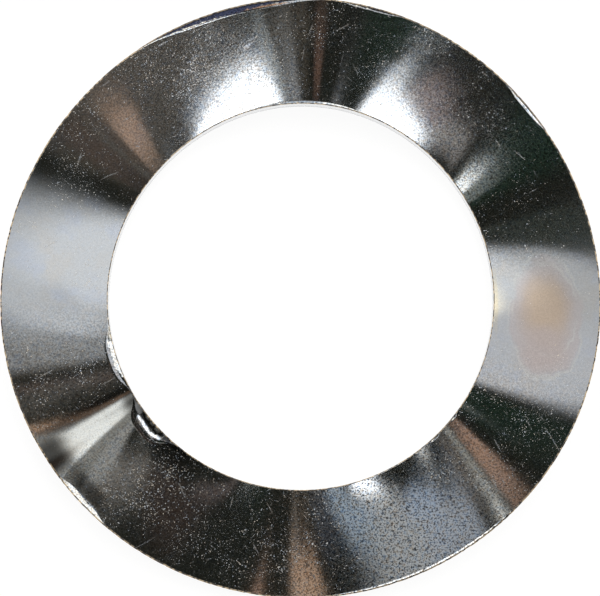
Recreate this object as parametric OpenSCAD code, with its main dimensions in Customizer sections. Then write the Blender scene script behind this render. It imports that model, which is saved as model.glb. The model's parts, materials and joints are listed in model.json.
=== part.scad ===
// Wave lock washer: a ring blanked from sheet steel and formed into gentle waves.
// Origin at the bore's centre, on the plane that the low points rest on, +Z along the bore.

/* [Ring] */
// Diameter across the rim
rim_d = 28; // [25:0.5:40]
// Diameter of the bore
bore_d = 18; // [8:0.5:20]
// Thickness of the sheet
sheet_t = 1.0; // [0.6:0.05:1.6]

/* [Waves] */
// Number of waves round the ring
wave_count = 3; // [2:1:6]
// Rise of a crest over a low point, the same from the bore to the rim
wave_rise = 1.08; // [0.3:0.02:2]
// Angle of the first crest from +X, in degrees
crest_angle = 85; // [0:1:119]

/* [Edges] */
// Width of the rolled upper edge at the rim
rim_roll_w = 0.24; // [0.12:0.02:0.6]
// Drop of the rolled upper edge at the rim
rim_roll_h = 0.1; // [0.04:0.02:0.24]
// Width of the rolled upper edge at the bore
bore_roll_w = 0.28; // [0.12:0.02:0.6]
// Drop of the rolled upper edge at the bore
bore_roll_h = 0.1; // [0.04:0.02:0.24]
// Size of the break along both lower edges
break_w = 0.05; // [0.02:0.01:0.1]

/* [Hidden] */
rim_r = rim_d / 2;
bore_r = bore_d / 2;
// Steps along each half wave, so that every crest and low point has its own station
half_wave_steps = 24;
stations = 2 * wave_count * half_wave_steps;
// Steps across each rolled edge, and how sharply the roll falls towards the wall
roll_steps = 5;
roll_power = 3;
// The formed sheet runs this far past both walls, which are then cut round
cut_over = 0.05;
cut_h = 2 * (wave_rise + 2 * sheet_t);
wall_fn = 180;

// Height of the sheet's middle at angle a, with the low points' underside at zero
floor_lift = (sheet_t + wave_rise) / 2;
function middle_z(a) = floor_lift + wave_rise / 2 * cos(wave_count * (a - crest_angle));

// Drop of a rolled edge at distance d from its wall: nothing at the roll's full width
function roll_drop(d, w, h) = h * pow(1 - d / w, roll_power);

// Distances from the wall at which a rolled edge has a point, outwards from the flat
function roll_points(w) = [for (k = [0 : roll_steps - 1]) w * (1 - k / roll_steps), -cut_over];

// Points of the section as [radius, height from the sheet's middle], clockwise from the bore
upper_bore = [for (d = roll_points(bore_roll_w)) [bore_r + d, sheet_t / 2 - roll_drop(d, bore_roll_w, bore_roll_h)]];
upper_rim = [for (d = roll_points(rim_roll_w)) [rim_r - d, sheet_t / 2 - roll_drop(d, rim_roll_w, rim_roll_h)]];
lower_rim = [for (d = [-cut_over, break_w]) [rim_r - d, break_w - d - sheet_t / 2]];
lower_bore = [for (d = [break_w, -cut_over]) [bore_r + d, break_w - d - sheet_t / 2]];
section = concat([for (k = [roll_steps : -1 : 0]) upper_bore[k]], upper_rim, lower_rim, lower_bore);

// The section carried round the ring, riding on the waves
module formed_sheet() {
    n = len(section);
    points = [
        for (i = [0 : stations - 1], p = section)
            let (a = crest_angle + 360 * i / stations)
                [p[0] * cos(a), p[0] * sin(a), middle_z(a) + p[1]]
    ];
    faces = [
        for (i = [0 : stations - 1], j = [0 : n - 1])
            let (here = i * n, next = ((i + 1) % stations) * n, k = (j + 1) % n)
                each [[here + j, next + j, next + k], [here + j, next + k, here + k]]
    ];
    polyhedron(points = points, faces = faces, convexity = 6);
}

// The blanked ring: formed sheet with a true round rim and a true round bore
module washer() {
    color([0.8, 0.82, 0.84])
        difference() {
            intersection() {
                formed_sheet();
                cylinder(h = cut_h, r = rim_r, center = true, $fn = wall_fn);
            }
            cylinder(h = cut_h, r = bore_r, center = true, $fn = wall_fn);
        }
}

washer();
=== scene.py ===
import json
import math

import bpy
import numpy as np
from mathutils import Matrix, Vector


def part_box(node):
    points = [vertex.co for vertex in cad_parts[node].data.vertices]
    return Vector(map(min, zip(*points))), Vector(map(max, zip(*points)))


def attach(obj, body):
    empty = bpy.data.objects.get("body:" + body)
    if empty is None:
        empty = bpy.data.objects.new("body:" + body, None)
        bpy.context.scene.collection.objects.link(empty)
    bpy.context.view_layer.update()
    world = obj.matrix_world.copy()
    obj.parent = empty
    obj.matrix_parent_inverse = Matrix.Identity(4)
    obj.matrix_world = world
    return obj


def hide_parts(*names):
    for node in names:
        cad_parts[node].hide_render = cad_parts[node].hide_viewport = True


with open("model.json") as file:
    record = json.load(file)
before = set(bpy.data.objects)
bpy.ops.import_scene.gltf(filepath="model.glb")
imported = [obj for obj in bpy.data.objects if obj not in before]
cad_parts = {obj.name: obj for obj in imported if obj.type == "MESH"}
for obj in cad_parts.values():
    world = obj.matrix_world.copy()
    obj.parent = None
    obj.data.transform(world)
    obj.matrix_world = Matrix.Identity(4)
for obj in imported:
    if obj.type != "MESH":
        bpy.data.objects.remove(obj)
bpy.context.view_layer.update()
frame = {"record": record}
print("frame loaded")

mm = 0.001
low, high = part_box("washer")
boreMount = next(m for m in frame["record"]["mounts"] if m["name"] == "bore")

# The formed ring, in metres and degrees
ring = {
    "rimRadius": (high.x - low.x) / 2,
    "boreRadius": boreMount["dims"]["r_mm"] * mm,
    "freeHeight": high.z - low.z,
    "sheet": 1.0 * mm,
    "waves": 3,
    "crestAngle": 85.0,        # first crest, counter-clockwise from +X
    "straightening": 0.05,     # share by which the flanks between crests and low points run straighter
    "dish": 0.0125 * mm,       # rise of both edges over the sheet's middle radius
    "crestDish": 0.01 * mm,    # further rise of the edges at the crests, and as much fall at the low points
    # where the forming tool left the sheet leaning: angle, half width in degrees, slope outwards, slope
    # round the ring, and the change of the slope outwards for each millimetre
    "leans": [(213, 9, -0.0187, 0.0170, -0.0039)],
    # shallow flutes from the bore to the rim: angle, depth, half width in degrees
    "flutes": [(213.0, 0.0098 * mm, 2.65)],
    "stations": 1296,          # steps round the ring
    # rows of points round the section, counting ends shared with the next part, and the powers that draw
    # them towards the upper edges
    "rollRows": 13,
    "rollCloser": 1.3,
    "flatRows": 32,
    "wallRows": 8,
    "wallCloser": 1.8,
    "lowerRows": 7,
}

# The blanked edges: how wide and deep the upper edges roll over, and where a roll is wider and deeper
edges = {
    "rimRoll": (0.045 * mm, 0.03 * mm),
    "boreRoll": (0.035 * mm, 0.025 * mm),
    "rollPower": 1.7,          # the drop is this power of the share of the roll's width
    # angle, half width in degrees, added width, added depth
    "rimSpots": [(40, 4.5, 0.16 * mm, 0.03 * mm), (76, 5, 0.14 * mm, 0.04 * mm),
                 (104, 14, 0.34 * mm, 0.06 * mm), (223, 5, 0.28 * mm, 0.045 * mm),
                 (296, 18, 0.11 * mm, 0.03 * mm)],
    "boreSpots": [(87, 13, 0.11 * mm, 0.03 * mm), (199, 8, 0.42 * mm, 0.085 * mm),
                  (220.5, 7, 0.80 * mm, 0.11 * mm), (313, 2, 0.10 * mm, 0.03 * mm),
                  (321, 1.5, 0.10 * mm, 0.03 * mm)],
    "rimLine": 0.10 * mm,      # widths of the dark and golden lines along the upper edges, partly burnished metal and partly painted shade
    "boreLine": 0.06 * mm,
    "breakSize": 0.02 * mm,    # how far both lower edges are broken
    "tearDepth": 0.01 * mm,    # how far the torn lower wall draws back
    "tearFrom": (0.35, 0.6),   # where down the wall the tear begins and is full
    "wallFrom": (0.02, 0.12),  # where down the wall the edge line gives way to the wall's own plating
    "notch": 0.018 * mm,       # depth of the finest notches along the rim, and half as deep along the bore
    "notchFrom": (0.5, 0.95),  # noise between these values makes the notches
    "notchRest": 0.25,         # share of the noise that is added everywhere
    "rimSeed": 3,
    "boreSeed": 5,
}


# Eases from 0 at a to 1 at b: t squared times (3 - 2t), where t is the share of the way
def ease(value, a, b):
    t = np.clip((value - a) / (b - a), 0, 1)
    return t * t * (3 - 2 * t)


# How far an angle in radians lies past a centre in degrees, from -180 to 180
def degreesFrom(angle, centre):
    return (np.degrees(angle) - centre + 180) % 360 - 180


# How much a spot round the ring counts at every angle: exp(-(angle from its centre / half width)^power)
def spotWeight(angle, centre, half, power):
    return np.exp(-(degreesFrom(angle, centre) / half) ** power)


# Height of the sheet's middle at every point: half the free height, half the rise times
# (cos w + s/3 cos 3w), where w is the number of waves times the angle from the first crest and s the
# straightening, and the dish times the square of the place across the sheet. A lean adds its slopes and a
# flute takes its depth away, each times its weight.
def sheetMiddle(radius, angle):
    turn = ring["waves"] * (angle - math.radians(ring["crestAngle"]))
    wave = np.cos(turn) + ring["straightening"] / 3 * np.cos(3 * turn)
    middle = (ring["rimRadius"] + ring["boreRadius"]) / 2
    across = 2 * (radius - middle) / (ring["rimRadius"] - ring["boreRadius"])
    dish = (ring["dish"] + ring["crestDish"] * np.cos(turn)) * across ** 2
    rise = ring["freeHeight"] - ring["sheet"]
    height = (ring["freeHeight"] + rise * wave) / 2 + dish
    for centre, half, outwards, along, bend in ring["leans"]:
        slopes = (outwards + bend / 2 * (radius - middle) / mm) * (radius - middle)
        slopes = slopes + along * np.radians(degreesFrom(angle, centre)) * middle
        height = height + slopes * spotWeight(angle, centre, half, 2)
    for centre, depth, half in ring["flutes"]:
        height = height - depth * spotWeight(angle, centre, half, 2)
    return height


# Width and depth of a roll at every angle: the plain ones, and what each spot adds times its weight
def rollSize(angle, roll, spots):
    width, depth = roll[0] + 0 * angle, roll[1] + 0 * angle
    for centre, half, addWidth, addDepth in spots:
        weight = spotWeight(angle, centre, half, 4)
        width, depth = width + addWidth * weight, depth + addDepth * weight
    return width, depth


# Fine uneven depth round an edge: seeded noise, the mean of each three neighbours, eased where it is high
def notches(angle, seed):
    noise = np.random.default_rng(seed).random(angle.size)
    smooth = (noise + np.roll(noise, 1) + np.roll(noise, -1)) / 3
    return ease(smooth, *edges["notchFrom"]) + edges["notchRest"] * smooth


# From 0 to 1 in a column of steps that are closer at both ends: (1 - cos) / 2 of an even half turn
def easedSteps(count):
    return (1 - np.cos(math.pi * np.linspace(0, 1, count)[:, None])) / 2


# The closed section at every angle: rows go round the section, columns round the ring. Each point has its
# radius, its height over the sheet's middle, and its shares of the edge line and of the wall.
# A rolled edge drops by its depth times (1 - share of its width from the wall)^power.
def ringSection(angle):
    half, tear, broken = ring["sheet"] / 2, edges["tearDepth"], edges["breakSize"]
    share = np.linspace(0, 1, ring["rollRows"])[:, None] ** ring["rollCloser"]
    flatShare = easedSteps(ring["flatRows"])[1:-1]
    down = np.linspace(0, 1, ring["wallRows"])[1:, None] ** ring["wallCloser"]
    under = easedSteps(ring["lowerRows"])
    drop = (1 - share) ** edges["rollPower"]
    torn = tear * ease(down, *edges["tearFrom"])

    boreWide, boreDeep = rollSize(angle, edges["boreRoll"], edges["boreSpots"])
    rimWide, rimDeep = rollSize(angle, edges["rimRoll"], edges["rimSpots"])
    boreR = ring["boreRadius"] + edges["notch"] / 2 * notches(angle, edges["boreSeed"])
    rimR = ring["rimRadius"] - edges["notch"] * notches(angle, edges["rimSeed"])
    flatWide = rimR - rimWide - boreR - boreWide
    rimIn, boreIn = rimR - tear - broken, boreR + tear + broken
    parts = {
        "boreRoll": (boreR + boreWide * share, half - boreDeep * drop),
        "flat": (boreR + boreWide + flatWide * flatShare, half + 0 * flatShare * angle),
        "rimRoll": (rimR - rimWide * share[::-1], half - rimDeep * drop[::-1]),
        "rimWall": (rimR - torn, half - rimDeep + (-2 * half + broken + rimDeep) * down),
        "lower": (rimIn + (boreIn - rimIn) * under, -half + 0 * under * angle),
        "boreWall": (boreR + torn[::-1], half - boreDeep + (-2 * half + broken + boreDeep) * down[::-1]),
    }
    radius, height = (np.concatenate([part[k] for part in parts.values()]) for k in range(2))

    top = radius[:2 * len(share) + len(flatShare)]
    boreLine, rimLine = edges["boreLine"], edges["rimLine"]
    line = np.maximum(ease(boreR + boreLine - top, 0, boreLine), ease(top - rimR + rimLine, 0, rimLine))
    plating = ease(down, *edges["wallFrom"]) + 0 * angle
    edge = np.concatenate([line, 1 + 0 * plating, 0 * under * angle, 1 + 0 * plating])
    wall = np.concatenate([0 * top, plating, 0 * under * angle, plating[::-1]])
    return radius, height, edge, wall


# A mesh from a grid of points that closes both ways; rows go round the section, columns round the ring
def closedGrid(name, points):
    rows, columns = points.shape[:2]
    index = np.arange(rows * columns).reshape(rows, columns)
    right, below = np.roll(index, -1, 1), np.roll(index, -1, 0)
    corner = np.roll(below, -1, 1)
    quads = np.stack([index, right, corner, below], -1).reshape(-1, 4)
    mesh = bpy.data.meshes.new(name)
    mesh.vertices.add(rows * columns)
    mesh.vertices.foreach_set("co", points.reshape(-1).astype(np.float32))
    mesh.loops.add(quads.size)
    mesh.loops.foreach_set("vertex_index", quads.reshape(-1).astype(np.int32))
    mesh.polygons.add(len(quads))
    mesh.polygons.foreach_set("loop_start", np.arange(0, quads.size, 4, dtype=np.int32))
    mesh.polygons.foreach_set("loop_total", np.full(len(quads), 4, np.int32))
    mesh.polygons.foreach_set("use_smooth", np.ones(len(quads), bool))
    mesh.update(calc_edges=True)
    mesh.validate()
    piece = bpy.data.objects.new(name, mesh)
    bpy.context.scene.collection.objects.link(piece)
    return piece


# A value at each point of a piece, for its material to read
def pointAttribute(piece, name, values):
    attribute = piece.data.attributes.new(name, "FLOAT", "POINT")
    attribute.data.foreach_set("value", values.reshape(-1).astype(np.float32))


# How much painted shade darkens the metal at every point, so that it shows dark there: each streak's amount
# times its weight round the ring and exp(-(way across from its radius / half reach)^4), whichever streak
# gives most
def paintedShadeShare(radius, angle):
    share = 0 * radius
    for centre, half, middle, reach, amount in plate["paintedShadeStreaks"]:
        weight = spotWeight(angle, centre, half, 4) * np.exp(-((radius - middle) / reach) ** 4)
        share = np.maximum(share, amount * weight)
    return share


# How much fine grain the face has at every angle: the plain share, and each spot's change times its weight
def grainShare(angle):
    share = plate["grainShare"] + 0 * angle
    for centre, half, change in plate["grainSpots"]:
        share = share + change * spotWeight(angle, centre, half, 4)
    return np.clip(share, 0, None)


# The whole ring: the section's heights added to the waved sheet's, let down until it touches the table
def buildRing():
    angle = np.arange(ring["stations"]) * 2 * math.pi / ring["stations"]
    radius, height, edge, wall = ringSection(angle)
    z = sheetMiddle(radius, angle) + height
    points = np.stack([radius * np.cos(angle), radius * np.sin(angle), z], -1)
    points[..., 2] -= points[..., 2].min() - low.z
    piece = closedGrid("washer_ring", points)
    pointAttribute(piece, "edgeShare", edge)
    pointAttribute(piece, "wallShare", wall)
    pointAttribute(piece, "grainShare", grainShare(angle) + 0 * radius)
    # painted shade, carried to the material as a value at each point
    pointAttribute(piece, "paintedShadeShare", paintedShadeShare(radius, angle))
    return piece


# A socket that adds maths nodes when it is used in an expression
class Wire:
    def __init__(self, tree, socket):
        self.tree = tree
        self.socket = socket

    def maths(self, operation, other=None, swapped=False):
        values = [self] if other is None else [other, self] if swapped else [self, other]
        return addNode(self.tree, "ShaderNodeMath", {"operation": operation}, dict(enumerate(values)))

    def __add__(self, other):
        return self.maths("ADD", other)

    def __radd__(self, other):
        return self.maths("ADD", other)

    def __sub__(self, other):
        return self.maths("SUBTRACT", other)

    def __rsub__(self, other):
        return self.maths("SUBTRACT", other, True)

    def __mul__(self, other):
        return self.maths("MULTIPLY", other)

    def __rmul__(self, other):
        return self.maths("MULTIPLY", other)

    def __truediv__(self, other):
        return self.maths("DIVIDE", other)

    def __rtruediv__(self, other):
        return self.maths("DIVIDE", other, True)

    def __pow__(self, other):
        return self.maths("POWER", other)

    def __rpow__(self, other):
        return self.maths("POWER", other, True)

    def top(self, other):
        return self.maths("MAXIMUM", other)

    def size(self):
        return self.maths("ABSOLUTE")


# One node: settings first, then its sockets by name or number, from wires or plain values.
# It gives the wire of one output, where the node has any.
def addNode(tree, kind, settings=None, inputs=None, output=0):
    node = tree.nodes.new(kind)
    for key, value in (settings or {}).items():
        setattr(node, key, value)
    for key, value in (inputs or {}).items():
        socket = node.inputs[key]
        if isinstance(value, Wire):
            tree.links.new(value.socket, socket)
        elif isinstance(value, tuple) and len(value) == 3 and len(socket.default_value) == 4:
            socket.default_value = (*value, 1)
        else:
            socket.default_value = value
    return Wire(tree, node.outputs[output]) if len(node.outputs) else None


# Eases a wire from 0 to 1 between two values
def soften(wire, a, b):
    return addNode(wire.tree, "ShaderNodeMapRange", {"interpolation_type": "SMOOTHSTEP"},
                   {"Value": wire, "From Min": a, "From Max": b})


# The X, Y and Z of a vector
def separate(vector):
    return [addNode(vector.tree, "ShaderNodeSeparateXYZ", inputs={0: vector}, output=k) for k in range(3)]


def mixColour(tree, share, a, b):
    return addNode(tree, "ShaderNodeMix", {"data_type": "RGBA"}, {0: share, 6: a, 7: b}, 2)


def newMaterial(name):
    material = bpy.data.materials.new(name)
    material.use_nodes = True
    material.node_tree.nodes.clear()
    return material, material.node_tree


# Bright zinc plate: its colours, and the sizes and depths of its marks in millimetres
plate = {
    "zinc": (0.83, 0.84, 0.845),
    "zincWarm": (0.84, 0.82, 0.79),
    "zincBlue": (0.79, 0.82, 0.88),
    "grainWarm": (0.93, 0.79, 0.68),   # hues of the fine grain
    "grainBlue": (0.66, 0.78, 0.98),
    "grainHue": 0.55,                  # how much of them shows
    "edgeGoldAndShade": (0.78, 0.62, 0.42),    # the dotted line where the upper edges turn into the walls: partly burnished metal, partly painted shade where the reflection should be darker
    "edgeDarkAndShade": (0.10, 0.08, 0.06),
    "edgeDull": 0.45,                  # share of that line that isn't metallic
    "wallZinc": (0.80, 0.81, 0.82),
    "dust": (0.62, 0.60, 0.57),        # pale specks of dust and oxide
    "dustWarm": (0.76, 0.64, 0.46),
    "dustBlue": (0.48, 0.58, 0.72),
    "faintDust": 0.085,
    "brightDust": 0.46,
    "clumpShare": 0.3,                 # how much clumps and patches gather the specks
    "patchShare": 0.4,
    "dustMore": 0.06,                  # what a dusty spot adds to their noise
    "dustRough": 0.5,                  # roughness that dust adds
    "scratchShare": 0.14,              # how much the hairlines show, and how their noise is stretched
    "scratchLength": 2.2,
    "scratchWidth": 0.18,
    "scratchDepth": 5.0,
    "scratchBend": 0.4,
    "scratchFade": 0.03,
    "scratches": [(28, 0.74), (75, 0.75), (-40, 0.76), (120, 0.75)],   # direction in degrees, rarity
    "peelDepth": 0.0006,               # soft unevenness of the plating, and its fine grain
    "grainDepth": 0.00018,
    "grainRest": 0.4,                  # grain that is left where the share of grain is 0
    "shade": 1.25,                     # how much the fine grain darkens and lightens the metal
    "roughness": 0.06,
    "patchRough": 0.02,
    "wallRough": 0.15,
    # share of fine grain, and where it changes: angle, half width in degrees, change
    "grainShare": 0.8,
    "grainSpots": [(290, 24, 0.8), (105, 16, 0.2), (36, 20, 0.3), (143, 12, -0.3), (212.5, 4, -0.65),
                   (170, 19, -0.7), (355, 20, -0.7)],
    # streaks of painted shade, which darken the metal where it should show dark: angle, half width, radius,
    # half reach, share of the light they take
    "paintedShadeStreaks": [(208.9, 1.6, 11.5 * mm, 3.5 * mm, 0.7), (213, 5.5, 13.65 * mm, 0.88 * mm, 0.92),
                    (225, 15, 9.0 * mm, 0.38 * mm, 0.9), (211, 4, 9.1 * mm, 0.6 * mm, 0.8),
                    (222, 5, 13.3 * mm, 0.38 * mm, 0.7), (232, 7, 9.6 * mm, 0.6 * mm, 0.6)],
    # where the dust lies thicker: centre and half sizes
    "dustSpots": [((9.5, -5.5), (2.5, 2.0)), ((-8.6, -3.6), (2.8, 1.6)), ((11.3, 2.6), (1.6, 1.6)),
                  ((-4.0, 10.5), (5.0, 2.5)), ((-2.0, -12.0), (5.0, 1.6)), ((-6.5, -9.0), (4.0, 2.5))],
    # the noises that the marks are made of: size in millimetres, detail, roughness, shift
    "noises": {
        "patches": (2.6, 3.0, 0.5, 0.0),
        "specks": (0.06, 1.0, 0.5, 3.0),
        "clumps": (0.30, 2.0, 0.6, 7.0),
        "warm": (1.7, 2.0, 0.5, 11.0),
        "blue": (1.3, 2.0, 0.5, 19.0),
        "hue": (0.16, 1.0, 0.5, 61.0),
        "stainEdge": (1.1, 3.0, 0.55, 31.0),
        "shade": (0.08, 2.0, 0.65, 41.0),
        "dots": (0.16, 1.0, 0.5, 53.0),
        "peel": (0.75, 1.0, 0.5, 23.0),
        "grain": (0.09, 1.0, 0.5, 0.0),
    },
    # the values between which each mark fades in
    "fades": {
        "faint": (0.99, 1.05),
        "bright": (1.085, 1.12),
        "dustySpot": (0.3, 1.3),
        "dustFree": (0.3, 0.6),
        "warm": (0.45, 0.7),
        "blue": (0.5, 0.72),
        "grainWarm": (0.5, 0.7),
        "grainBlue": (0.3, 0.5),
        "dustHue": (0.45, 0.6),
        "dustGrey": (0.02, 0.08),
        "shade": (0.28, 0.72),
        "dots": (0.42, 0.56),
        "line": (0.15, 0.5),
        "driedPatch": (0.36, 0.5),
        "roughPatch": (0.4, 0.7),
        "roughWall": (0.3, 0.8),
    },
}

# The stain on the right flank: centre and half sizes in millimetres, how soft its edge is, how much of its
# colour shows, and the colour. Dried edges show as a thin pale line.
stain = {
    "spots": {
        "halo": ((11.42, -1.0), (1.75, 2.95), 0.12, 0.9, (0.86, 0.79, 0.765)),
        "tan": ((11.4, -0.6), (1.5, 2.25), 0.40, 1.0, (0.87, 0.73, 0.63)),
        "tanHeart": ((11.4, -0.6), (1.15, 1.75), 0.6, 0.9, (0.92, 0.72, 0.54)),
        "pink": ((11.22, -2.5), (1.5, 1.5), 0.6, 0.8, (0.86, 0.73, 0.67)),
        "cream": ((9.07, -0.2), (0.18, 1.9), 0.6, 0.9, (0.90, 0.85, 0.74)),
    },
    "wobble": 0.45,        # how uneven the spots' outlines are
    "edge": 1.02,          # the colour ends at this share of a spot's half size
    "dried": 0.05,         # width of the dried edge, for spots with an edge sharper than "driedBelow"
    "driedBelow": 0.5,
    "driedShare": 0.7,
    "driedPale": (0.98, 0.96, 0.90),
}


# One of the plate's noises, moved by its shift
def plateNoise(tree, placeMm, name):
    size, detail, rough, shift = plate["noises"][name]
    moved = addNode(tree, "ShaderNodeVectorMath", {"operation": "ADD"}, {
        0: placeMm, 1: (shift, -shift, shift)})
    return addNode(tree, "ShaderNodeTexNoise", inputs={
        "Vector": moved, "Scale": 1 / size, "Detail": detail, "Roughness": rough})


# A wire faded in between the plate's values of that name
def fade(wire, name):
    return soften(wire, *plate["fades"][name])


# How far a place lies from a spot's centre, as a share of the spot's half sizes
def spotReach(across, centre, half):
    a, b = (across[0] - centre[0]) / half[0], (across[1] - centre[1]) / half[1]
    return (a * a + b * b) ** 0.5


# Fine pale hairlines that run one way: noise stretched along the line, kept where it is highest
def hairlines(tree, placeMm, turn, cut):
    stretched = addNode(tree, "ShaderNodeMapping", {"vector_type": "TEXTURE"}, {
        "Vector": placeMm, "Rotation": (0, 0, math.radians(turn)),
        "Scale": (plate["scratchLength"], plate["scratchWidth"], plate["scratchDepth"])})
    noise = addNode(tree, "ShaderNodeTexNoise", inputs={
        "Vector": stretched, "Scale": 1.0, "Detail": 1.0, "Distortion": plate["scratchBend"]})
    return soften(noise, cut, cut + plate["scratchFade"])


# Dust: specks where fine noise stands out, thicker in patches and in the dusty spots, and hairlines
def dustShare(tree, placeMm, across, patches, edge):
    thick = None
    for centre, half in plate["dustSpots"]:
        inSpot = 1 - fade(spotReach(across, centre, half) + (patches - 0.5) * 2, "dustySpot")
        thick = inSpot if thick is None else thick.top(inSpot)
    specks = plateNoise(tree, placeMm, "specks") + plate["clumpShare"] * plateNoise(tree, placeMm, "clumps")
    specks = specks + plate["patchShare"] * patches + thick * plate["dustMore"]
    dust = (fade(specks, "faint") * plate["faintDust"]).top(fade(specks, "bright") * plate["brightDust"])
    for turn, cut in plate["scratches"]:
        dust = dust.top(hairlines(tree, placeMm, turn, cut) * plate["scratchShare"])
    return dust * (1 - fade(edge, "dustFree"))


# The stain's colours over a tint, and the pale lines where it dried
def stainedTint(tree, placeMm, across, patches, tint):
    uneven = (plateNoise(tree, placeMm, "stainEdge") - 0.5) * stain["wobble"]
    for centre, half, soft, share, tone in stain["spots"].values():
        reach = spotReach(across, centre, half) + uneven
        tint = mixColour(tree, (1 - soften(reach, 1 - soft, stain["edge"])) * share, tint, tone)
        if soft < stain["driedBelow"]:
            line = (1 - soften((reach - 1).size(), 0.0, stain["dried"])) * fade(patches, "driedPatch")
            tint = mixColour(tree, line * stain["driedShare"], tint, stain["driedPale"])
    return tint


def makePlate():
    material, tree = newMaterial("brightZincPlate")
    place = addNode(tree, "ShaderNodeTexCoord", output="Object")
    placeMm = addNode(tree, "ShaderNodeVectorMath", {"operation": "SCALE"}, {0: place, "Scale": 1 / mm})
    edge, wall, grainAmount, paintedShade = (
        addNode(tree, "ShaderNodeAttribute", {"attribute_name": name}, output="Fac")
        for name in ("edgeShare", "wallShare", "grainShare", "paintedShadeShare"))
    across = separate(placeMm)
    patches, warm, blue, hue, fineShade, dots, peel, grain = (
        plateNoise(tree, placeMm, name)
        for name in ("patches", "warm", "blue", "hue", "shade", "dots", "peel", "grain"))
    dust = dustShare(tree, placeMm, across, patches, edge)

    tint = mixColour(tree, fade(warm, "warm"), plate["zinc"], plate["zincWarm"])
    tint = mixColour(tree, fade(blue, "blue"), tint, plate["zincBlue"])
    hueShare = grainAmount * plate["grainHue"]
    tint = mixColour(tree, fade(hue, "grainWarm") * hueShare, tint, plate["grainWarm"])
    tint = mixColour(tree, (1 - fade(hue, "grainBlue")) * hueShare, tint, plate["grainBlue"])
    tint = stainedTint(tree, placeMm, across, patches, tint)
    # the fine grain lightens and darkens the tint, and the painted shade streaks darken it
    shade = ((fade(fineShade, "shade") - 0.5) * grainAmount * plate["shade"] + 1) * (1 - paintedShade)
    tint = addNode(tree, "ShaderNodeVectorMath", {"operation": "SCALE"}, {0: tint, "Scale": shade})

    # The edge line's dark and golden dots: partly burnished metal, partly painted shade of a reflection
    # darkened near the table
    burnishAndShade = mixColour(tree, fade(dots, "dots"), plate["edgeDarkAndShade"], plate["edgeGoldAndShade"])
    metal = mixColour(tree, fade(edge, "line"), tint, burnishAndShade)
    metal = mixColour(tree, wall, metal, plate["wallZinc"])
    dullLine = fade(edge, "line") * (1 - wall) * plate["edgeDull"]
    dustTint = mixColour(tree, fade(hue, "dustHue"), plate["dustBlue"], plate["dustWarm"])
    dustTint = mixColour(tree, 1 - fade((hue - 0.5).size(), "dustGrey"), dustTint, plate["dust"])
    colour = mixColour(tree, dust, metal, dustTint)

    rough = plate["roughness"] + plate["patchRough"] * fade(patches, "roughPatch")
    rough = rough + plate["wallRough"] * fade(wall, "roughWall") + plate["dustRough"] * dust
    height = peel * plate["peelDepth"] + grain * (plate["grainRest"] + grainAmount) * plate["grainDepth"]
    bump = addNode(tree, "ShaderNodeBump", inputs={"Strength": 1.0, "Distance": mm, "Height": height})
    shader = addNode(tree, "ShaderNodeBsdfPrincipled", inputs={
        "Base Color": colour, "Metallic": 1 - dust.top(dullLine), "Roughness": rough, "Normal": bump})
    addNode(tree, "ShaderNodeOutputMaterial", inputs={"Surface": shader})
    return material


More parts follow.
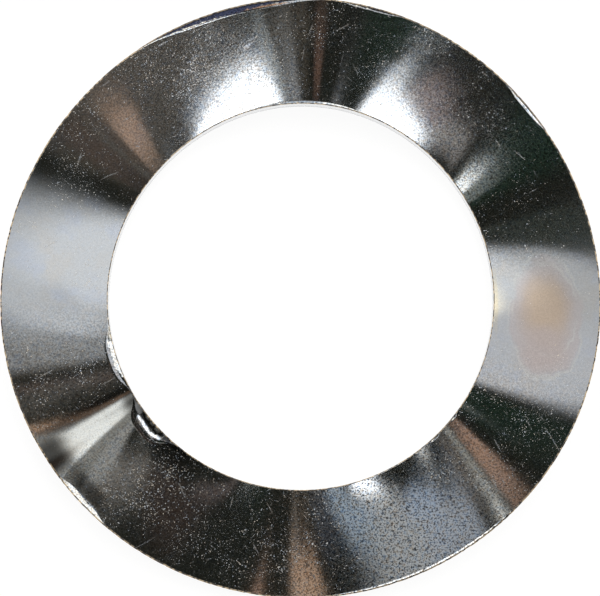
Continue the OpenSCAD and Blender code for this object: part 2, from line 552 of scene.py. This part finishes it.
# The studio: panels seen in the metal, as places on a flat sky over the table.
# A place (u, w) is how far a direction leans to +X and +Y for each unit that it rises.
studio = {
    "dark": (0.013, 0.014, 0.011),
    "far": (0.02, 0.02, 0.025),
    # lights low round the table, seen in the rolled edges: azimuth, half width in degrees, the lean at
    # which they start, colour. They end at the lean of "lightsEnd", with a golden glow past "glowStart".
    "farLights": {
        "rightSide": (352, 12, 0.44, (0.52, 0.53, 0.53)),
        "backRight": (19, 9, 0.50, (0.9, 0.88, 0.80)),
        "backEdge": (40, 5, 0.38, (1.2, 1.2, 1.15)),
        "backTop": (77, 5, 0.46, (1.4, 1.3, 1.05)),
        "backLeft": (137, 7, 0.46, (1.3, 1.25, 1.1)),
        "leftSide": (172, 12, 0.44, (0.50, 0.51, 0.51)),
        "frontLeft": (235, 9, 0.24, (1.2, 1.2, 1.15)),
        "frontBlue": (259, 8, 0.22, (0.45, 0.50, 0.56)),
        "frontRight": (282, 17, 0.27, (1.5, 1.5, 1.45)),
        "sideRight": (331, 5, 0.34, (0.40, 0.42, 0.44)),
    },
    "lightsEnd": (1.0, 1.3),
    "lightSides": (0.3, 0.5),      # how softly a light ends at its sides, outwards and inwards
    "lightStart": 0.03,            # and where it starts
    "farStart": (0.9, 1.2),        # the lean at which the sky turns to its far colour
    "glowStart": (2.5, 4.0),
    "glow": (0.62, 0.52, 0.36),
    "lowestRise": 0.02,            # a direction that rises less is taken to rise this much
    "leastFlat": 0.0001,           # keeps a direction straight up from dividing by nothing
    "mapResolution": 1024,
    # the bright wall of the tent starts outside an ellipse, and is seen at both sides only
    "tent": {
        "centre": -0.004,
        "half": (0.337, 0.207),
        "turn": -4.5,
        "edge": (0.95, 1.035),
        "left": -0.224,
        "right": 0.27,
        "soft": 0.06,
        "leftFoot": (-0.135, -0.115),
        "rightFoot": (-0.06, -0.02),
        "top": (0.18, 0.24),
        "end": (0.375, 0.42),
        "colour": (2.1, 2.2, 2.3),
    },
    # name: centre, half sizes, turn in degrees, width of the soft edge, colour
    "panels": {
        "greenCard": ((0.16, 0.06), (0.06, 0.09), -20, 0.05, (0.012, 0.022, 0.015)),
        "leftWall": ((-0.25, 0.06), (0.12, 0.075), 0, 0.08, (0.075, 0.068, 0.058)),
        "leftSheen": ((-0.324, 0.045), (0.012, 0.036), 10, 0.02, (0.23, 0.25, 0.27)),
        "brownWall": ((-0.10, 0.130), (0.018, 0.065), -35, 0.02, (0.075, 0.058, 0.048)),
        "midStreak": ((-0.09, 0.04), (0.010, 0.080), 27, 0.02, (0.085, 0.08, 0.07)),
        "tanCard": ((-0.178, 0.050), (0.036, 0.012), 32, 0.018, (0.40, 0.28, 0.21)),
        "topCard": ((-0.13, 0.184), (0.080, 0.018), 5, 0.02, (0.050, 0.045, 0.036)),
        "crestCard": ((-0.005, 0.195), (0.018, 0.010), 0, 0.014, (0.13, 0.08, 0.06)),
        "greyCard": ((-0.155, 0.243), (0.045, 0.055), 0, 0.04, (0.24, 0.245, 0.245)),
        "keyBox": ((0.05, 0.618), (0.25, 0.28), 12, 0.12, (0.69, 0.715, 0.74)),
        "keyWing": ((0.236, 0.345), (0.120, 0.148), 0, 0.05, (0.50, 0.51, 0.53)),
        "plumCard": ((0.300, 0.012), (0.022, 0.050), 12, 0.025, (0.20, 0.165, 0.16)),
        "plumEnd": ((0.29, -0.035), (0.045, 0.018), 0, 0.02, (0.22, 0.21, 0.20)),
        "smallHalo": ((0.162, -0.003), (0.066, 0.018), -43, 0.014, (0.18, 0.20, 0.19)),
        "smallLamp": ((0.182, -0.021), (0.030, 0.010), -42, 0.010, (1.3, 1.35, 1.35)),
        "mottledCard": ((-0.20, -0.108), (0.062, 0.032), 0, 0.03, (0.33, 0.34, 0.34)),
        "blueEdge": ((-0.235, -0.055), (0.034, 0.036), 30, 0.03, (0.25, 0.30, 0.35)),
        "slateCard": ((-0.180, -0.028), (0.038, 0.012), 12, 0.02, (0.045, 0.050, 0.060)),
        "lowBand": ((-0.128, -0.121), (0.040, 0.016), 12, 0.018, (0.31, 0.34, 0.38)),
        "seatCard": ((-0.083, -0.031), (0.035, 0.011), 8, 0.014, (0.42, 0.28, 0.19)),
        "lowCard": ((0.085, -0.162), (0.075, 0.019), -22, 0.03, (0.15, 0.14, 0.125)),
        "mottledLow": ((-0.184, -0.140), (0.030, 0.014), 0, 0.02, (0.30, 0.35, 0.42)),
        "lowSide": ((0.216, -0.112), (0.012, 0.032), 0, 0.016, (0.09, 0.075, 0.07)),
        "shoulder": ((0.280, 0.099), (0.024, 0.021), -35, 0.02, (0.80, 0.85, 0.90)),
        "lowEnd": ((0.034, -0.152), (0.038, 0.023), -45, 0.02, (0.27, 0.27, 0.255)),
        "lowRight": ((0.175, -0.150), (0.030, 0.040), 0, 0.03, (0.032, 0.024, 0.020)),
        "tanStreak": ((0.010, -0.060), (0.034, 0.0125), 33, 0.012, (0.35, 0.23, 0.17)),
        "lowMid": ((-0.068, -0.122), (0.030, 0.015), 33, 0.014, (0.12, 0.11, 0.10)),
        "keyFoot": ((-0.20, 0.178), (0.020, 0.018), 0, 0.02, (0.28, 0.30, 0.30)),
        "leftFlank": ((-0.13, 0.345), (0.035, 0.045), 0, 0.02, (0.52, 0.54, 0.56)),
        "rightFlank": ((0.10, 0.322), (0.035, 0.022), -20, 0.03, (0.45, 0.46, 0.47)),
        "lensCard": ((-0.24, 0.54), (0.07, 0.12), 0, 0.03, (0.46, 0.29, 0.19)),
        "navyCard": ((-0.44, 0.65), (0.18, 0.40), 0, 0.05, (0.05, 0.058, 0.105)),
        "blueFoot": ((-0.12, -0.235), (0.07, 0.04), 0, 0.02, (0.22, 0.30, 0.44)),
        "darkGap": ((0.065, 0.255), (0.030, 0.050), -8, 0.03, (0.03, 0.035, 0.03)),
        "lowSheen": ((-0.282, -0.105), (0.016, 0.024), 0, 0.012, (1.0, 1.05, 1.1)),
        "crescentCard": ((0.70, 0.44), (0.30, 0.06), 19, 0.03, (1.5, 1.55, 1.6)),
        "streakHalo": ((-0.026, -0.104), (0.040, 0.014), -40, 0.016, (0.24, 0.24, 0.22)),
        "streakLamp": ((-0.068, -0.067), (0.022, 0.017), -8, 0.012, (1.0, 1.01, 0.96)),
    },
}


# A place turned about the sky's middle: u cos + w sin, and w cos - u sin
def turned(u, w, degrees):
    c, s = math.cos(math.radians(degrees)), math.sin(math.radians(degrees))
    return u * c + w * s, w * c - u * s


# 1 within a half size of the middle and 0 outside it, eased over the width of the soft edge
def within(way, half, soft):
    return soften(half - way.size(), -soft / 2, soft / 2)


# Each panel covers those before it
def paintPanels(tree, colour, u, w):
    for centre, half, turn, soft, tone in studio["panels"].values():
        a, b = turned(u - centre[0], w - centre[1], turn)
        mask = within(a, half[0], soft) * within(b, half[1], soft)
        colour = mixColour(tree, mask, colour, tone)
    return colour


# The tent's wall shows where a place lies outside the ellipse and to the left or the right
def paintTent(tree, colour, u, w, lean):
    tent = studio["tent"]
    a, b = turned(u, w, tent["turn"])
    a, b = (a - tent["centre"]) / tent["half"][0], b / tent["half"][1]
    outside = soften((a * a + b * b) ** 0.5, *tent["edge"]) * (1 - soften(lean, *tent["end"]))
    half = tent["soft"] / 2
    left = soften(tent["left"] - u, -half, half) * soften(w, *tent["leftFoot"])
    right = soften(u - tent["right"], -half, half) * soften(w, *tent["rightFoot"])
    sides = left.top(right) * (1 - soften(w, *tent["top"]))
    return mixColour(tree, sides * outside, colour, tent["colour"])


# A far light shows where the cosine of a direction's azimuth from the light's is high
def paintFarLights(tree, colour, x, y, lean):
    flat = (x * x + y * y) ** 0.5 + studio["leastFlat"]
    outwards, inwards = studio["lightSides"]
    for azimuth, half, start, tone in studio["farLights"].values():
        a, edge = math.radians(azimuth), math.cos(math.radians(half))
        near = (x * math.cos(a) + y * math.sin(a)) / flat
        mask = soften(near, edge - outwards * (1 - edge), edge + inwards * (1 - edge))
        mask = mask * soften(lean, start - studio["lightStart"], start + studio["lightStart"])
        colour = mixColour(tree, mask * (1 - soften(lean, *studio["lightsEnd"])), colour, tone)
    return colour


def makeStudio():
    world = bpy.data.worlds.new("studio")
    bpy.context.scene.world = world
    world.use_nodes = True
    tree = world.node_tree
    tree.nodes.clear()
    x, y, z = separate(addNode(tree, "ShaderNodeTexCoord", output="Generated"))
    rise = z.top(studio["lowestRise"])
    u, w = x / rise, y / rise
    lean = (u * u + w * w) ** 0.5

    colour = paintPanels(tree, studio["dark"], u, w)
    colour = paintTent(tree, colour, u, w, lean)
    colour = mixColour(tree, soften(lean, *studio["farStart"]), colour, studio["far"])
    colour = paintFarLights(tree, colour, x, y, lean)
    colour = mixColour(tree, soften(lean, *studio["glowStart"]), colour, studio["glow"])
    seen = addNode(tree, "ShaderNodeLightPath", output="Is Camera Ray")
    colour = mixColour(tree, seen, colour, (1, 1, 1))
    background = addNode(tree, "ShaderNodeBackground", inputs={"Color": colour, "Strength": 1.0})
    addNode(tree, "ShaderNodeOutputWorld", inputs={"Surface": background})
    world.cycles.sampling_method = "MANUAL"
    world.cycles.sample_map_resolution = studio["mapResolution"]


# A white table that shows white to the camera and in the metal, and keeps some of the washer's shadow
table = {
    "half": 3.0,
    "below": 0.01 * mm,        # the washer's low points stand this little over it
    "white": (0.88, 0.88, 0.88),
    "seenWhite": (0.14, 0.14, 0.14),   # the part of the seen white that a shadow takes away
    "ownLight": 0.90,                  # and the part that always shows
}


def makeTableWhite():
    material, tree = newMaterial("tableWhite")
    camera, glossy, through = (
        addNode(tree, "ShaderNodeLightPath", output=name)
        for name in ("Is Camera Ray", "Is Glossy Ray", "Is Transmission Ray"))
    matt = addNode(tree, "ShaderNodeBsdfDiffuse", inputs={"Color": table["white"]})
    dim = addNode(tree, "ShaderNodeBsdfDiffuse", inputs={"Color": table["seenWhite"]})
    glow = addNode(tree, "ShaderNodeEmission", inputs={"Color": (1, 1, 1), "Strength": table["ownLight"]})
    lit = addNode(tree, "ShaderNodeAddShader", inputs={0: dim, 1: glow})
    seen = camera.top(glossy).top(through)
    shader = addNode(tree, "ShaderNodeMixShader", inputs={0: seen, 1: matt, 2: lit})
    addNode(tree, "ShaderNodeOutputMaterial", inputs={"Surface": shader})
    return material


def makeTable():
    mesh = bpy.data.meshes.new("table")
    h, z = table["half"], -table["below"]
    mesh.from_pydata([(-h, -h, z), (h, -h, z), (h, h, z), (-h, h, z)], [], [(0, 1, 2, 3)])
    mesh.materials.append(makeTableWhite())
    piece = bpy.data.objects.new("table", mesh)
    bpy.context.scene.collection.objects.link(piece)


# A soft lamp for the washer's shadow, with its size in metres and its power in watts. It is hidden from
# reflections, where the painted panels stand for it.
lamps = {
    "overhead": {"place": (0.05, 0.25, 0.6), "size": 0.5, "power": 3.0},
}


def makeLamps():
    for name, lamp in lamps.items():
        data = bpy.data.lights.new(name, "AREA")
        data.size = lamp["size"]
        data.energy = lamp["power"]
        piece = bpy.data.objects.new(name, data)
        piece.location = lamp["place"]
        x, y, z = lamp["place"]
        piece.rotation_euler = (math.atan2(math.hypot(x, y), z), 0, math.atan2(y, x) + math.pi / 2)
        piece.visible_glossy = False
        bpy.context.scene.collection.objects.link(piece)


# The camera looks down, leaning a little to the front
lens = {
    "distance": 112 * mm,
    "lean": 5.0,                         # degrees
    "pixelsPerMetre": 21350.0,           # how large the washer shows
    "imageWidth": 600,                   # pixels
    "sensor": 36.0,                      # width in millimetres
    "middle": (-0.04 * mm, -0.04 * mm),  # the place it looks at
    "clip": (0.005, 20),
}


def makeCamera():
    data = bpy.data.cameras.new("camera")
    data.sensor_width = lens["sensor"]
    data.lens = lens["sensor"] / lens["imageWidth"] * lens["pixelsPerMetre"] * lens["distance"]
    data.clip_start, data.clip_end = lens["clip"]
    lean = math.radians(lens["lean"])
    piece = bpy.data.objects.new("camera", data)
    mx, my = lens["middle"]
    reach = lens["distance"]
    piece.location = (mx, my - reach * math.sin(lean), ring["freeHeight"] / 2 + reach * math.cos(lean))
    piece.rotation_euler = (lean, 0, 0)
    bpy.context.scene.collection.objects.link(piece)
    bpy.context.scene.camera = piece


makeCamera()
makeTable()
makeLamps()
makeStudio()
print("studio made")

washerRing = buildRing()
washerRing.data.materials.append(makePlate())
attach(washerRing, "root")
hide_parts("washer")
print("washer made:", len(washerRing.data.polygons), "faces")

bpy.context.scene.view_settings.view_transform = "Standard"
